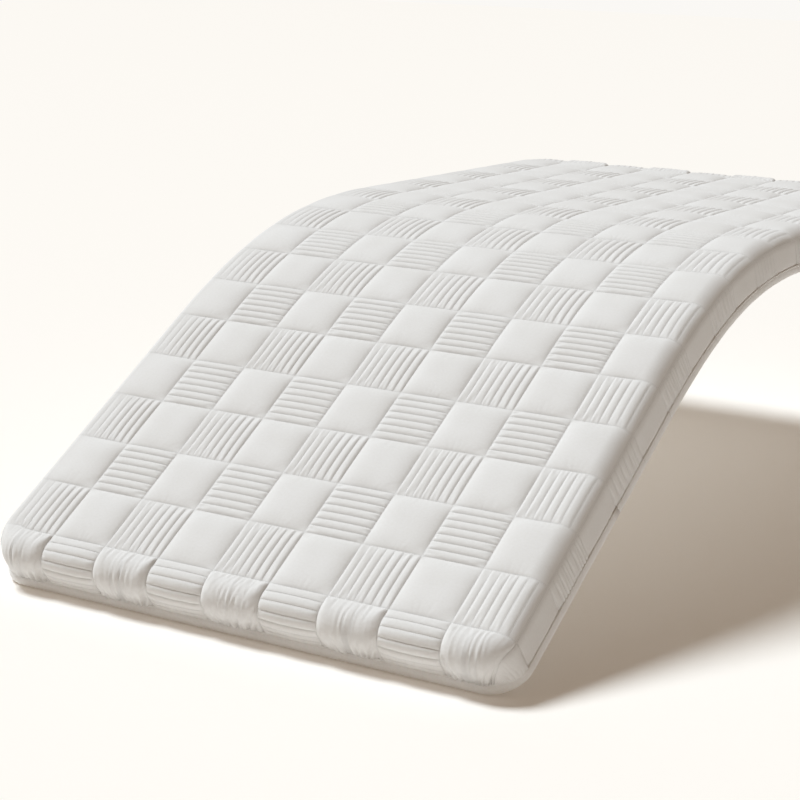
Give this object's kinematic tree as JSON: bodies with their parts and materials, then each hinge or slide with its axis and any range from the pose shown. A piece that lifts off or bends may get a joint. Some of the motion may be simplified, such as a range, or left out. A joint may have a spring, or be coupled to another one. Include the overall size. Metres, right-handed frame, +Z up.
{
  "type": "futon mattress",
  "caption": "Thin single mattress with a checkered quilted cover over foam layers, draped over an edge; it lies flat and folds its two ends in to the middle.",
  "frame": {"origin": "centre of the width on the underside of the flat middle panel, where the mattress lies on its base", "axes": "+X across the width, +Y along the mattress to its head end, +Z up"},
  "size_m": [0.9, 1.8836, 0.52],
  "materials": {
    "quilted_cloth": "off-white woven cloth quilted over wadding, matte, soft",
    "comfort_foam": "soft open-cell foam, cream, matte",
    "support_foam": "firmer open-cell foam, off-white, matte",
    "seam_tape": "narrow twill tape, off-white, matte",
    "edge_band": "plain tightly woven white cloth, matte",
    "base_cloth": "plain woven white cloth, matte"
  },
  "bodies": {
    "foot": {"quilted_cover_foot": "quilted_cloth", "comfort_layer_foot": "comfort_foam", "support_core_foot": "support_foam", "seam_tape_foot": "seam_tape", "edge_band_foot": "edge_band", "base_cloth_foot": "base_cloth"},
    "lower_slope": {"quilted_cover_lower_slope": "quilted_cloth", "comfort_layer_lower_slope": "comfort_foam", "support_core_lower_slope": "support_foam", "seam_tape_lower_slope": "seam_tape", "edge_band_lower_slope": "edge_band", "base_cloth_lower_slope": "base_cloth"},
    "bend_1": {"quilted_cover_bend_1": "quilted_cloth", "comfort_layer_bend_1": "comfort_foam", "support_core_bend_1": "support_foam", "seam_tape_bend_1": "seam_tape", "edge_band_bend_1": "edge_band", "base_cloth_bend_1": "base_cloth"},
    "bend_2": {"quilted_cover_bend_2": "quilted_cloth", "comfort_layer_bend_2": "comfort_foam", "support_core_bend_2": "support_foam", "seam_tape_bend_2": "seam_tape", "edge_band_bend_2": "edge_band", "base_cloth_bend_2": "base_cloth"},
    "bend_3": {"quilted_cover_bend_3": "quilted_cloth", "comfort_layer_bend_3": "comfort_foam", "support_core_bend_3": "support_foam", "seam_tape_bend_3": "seam_tape", "edge_band_bend_3": "edge_band", "base_cloth_bend_3": "base_cloth"},
    "bend_4": {"quilted_cover_bend_4": "quilted_cloth", "comfort_layer_bend_4": "comfort_foam", "support_core_bend_4": "support_foam", "seam_tape_bend_4": "seam_tape", "edge_band_bend_4": "edge_band", "base_cloth_bend_4": "base_cloth"},
    "bend_5": {"quilted_cover_bend_5": "quilted_cloth", "comfort_layer_bend_5": "comfort_foam", "support_core_bend_5": "support_foam", "seam_tape_bend_5": "seam_tape", "edge_band_bend_5": "edge_band", "base_cloth_bend_5": "base_cloth"},
    "middle": {"quilted_cover_middle": "quilted_cloth", "comfort_layer_middle": "comfort_foam", "support_core_middle": "support_foam", "seam_tape_middle": "seam_tape", "edge_band_middle": "edge_band", "base_cloth_middle": "base_cloth"},
    "head": {"quilted_cover_head": "quilted_cloth", "comfort_layer_head": "comfort_foam", "support_core_head": "support_foam", "seam_tape_head": "seam_tape", "edge_band_head": "edge_band", "base_cloth_head": "base_cloth"}
  },
  "joints": [
    {"name": "drape", "type": "hinge", "parent": "middle", "child": "bend_5", "pos_m": [0, -0.15806, 0.086], "axis": [-1, 0, 0], "range_deg": [0, 4]},
    {"name": "drape_at_bend_4", "type": "hinge", "parent": "bend_5", "child": "bend_4", "pos_m": [0, -0.26406, 0.07859], "axis": [-1, 0, 0], "range_deg": [0, 5]},
    {"name": "drape_at_bend_3", "type": "hinge", "parent": "bend_4", "child": "bend_3", "pos_m": [0, -0.36928, 0.06192], "axis": [-1, 0, 0], "range_deg": [0, 6]},
    {"name": "drape_at_bend_2", "type": "hinge", "parent": "bend_3", "child": "bend_2", "pos_m": [0, -0.47232, 0.03431], "axis": [-1, 0, 0], "range_deg": [0, 6]},
    {"name": "drape_at_bend_1", "type": "hinge", "parent": "bend_2", "child": "bend_1", "pos_m": [0, -0.57179, -0.00387], "axis": [-1, 0, 0], "range_deg": [0, 5]},
    {"name": "drape_at_lower_slope", "type": "hinge", "parent": "bend_1", "child": "lower_slope", "pos_m": [0, -0.66729, -0.05045], "axis": [-1, 0, 0], "range_deg": [0, 4]},
    {"name": "foot_fold", "type": "hinge", "parent": "lower_slope", "child": "foot", "pos_m": [0, -0.84964, -0.15573], "axis": [-1, 0, 0], "range_deg": [0, 180]},
    {"name": "head_fold", "type": "hinge", "parent": "middle", "child": "head", "pos_m": [0, 0.1575, 0.086], "axis": [1, 0, 0], "range_deg": [0, 180]}
  ],
  "couplings": [
    {"joint": "drape_at_bend_4", "follows": "drape", "ratio": 1.25},
    {"joint": "drape_at_bend_3", "follows": "drape", "ratio": 1.5},
    {"joint": "drape_at_bend_2", "follows": "drape", "ratio": 1.5},
    {"joint": "drape_at_bend_1", "follows": "drape", "ratio": 1.25},
    {"joint": "drape_at_lower_slope", "follows": "drape", "ratio": 1}
  ]
}
